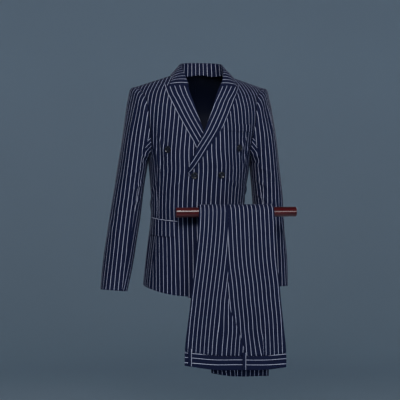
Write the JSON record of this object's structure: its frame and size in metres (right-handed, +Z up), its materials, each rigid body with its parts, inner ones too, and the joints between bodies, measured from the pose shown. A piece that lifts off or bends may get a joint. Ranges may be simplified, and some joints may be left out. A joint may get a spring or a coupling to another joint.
{
  "type": "double-breasted suit with trousers over a rod",
  "caption": "Pinstriped double-breasted jacket in its worn hollow form, with its trousers folded over a round rod in front.",
  "frame": {"origin": "base of the wearer's neck, level with the top of the shoulders", "axes": "+Z up, the jacket's front faces -Y, +X is the wearer's left"},
  "size_m": [0.5825, 0.2884, 0.9579],
  "materials": {
    "suiting": "matt navy worsted wool with light grey pinstripes 13 mm apart",
    "button": "polished dark navy, dished, with four holes",
    "lacquer": "gloss dark red lacquer on turned wood"
  },
  "bodies": {
    "root": {"front_left": "suiting", "front_right": "suiting", "lapel_left": "suiting", "lapel_right": "suiting", "collar": "suiting", "side_body_left": "suiting", "side_body_right": "suiting", "back_left": "suiting", "back_right": "suiting", "sleeve_under_left": "suiting", "sleeve_under_right": "suiting", "sleeve_upper_left": "suiting", "sleeve_upper_right": "suiting", "hip_flap_left": "suiting", "hip_jet_left": "suiting", "hip_flap_right": "suiting", "hip_jet_right": "suiting", "chest_welt": "suiting", "button_chest_right": "button", "button_chest_left": "button", "button_waist_right": "button", "button_waist_left": "button", "button_lower_right": "button", "button_lower_left": "button", "trouser_front": "suiting", "trouser_back": "suiting", "trouser_inner_layers": "suiting", "waistband": "suiting", "belt_loop_1": "suiting", "belt_loop_2": "suiting", "rod": "lacquer"}
  },
  "joints": []
}
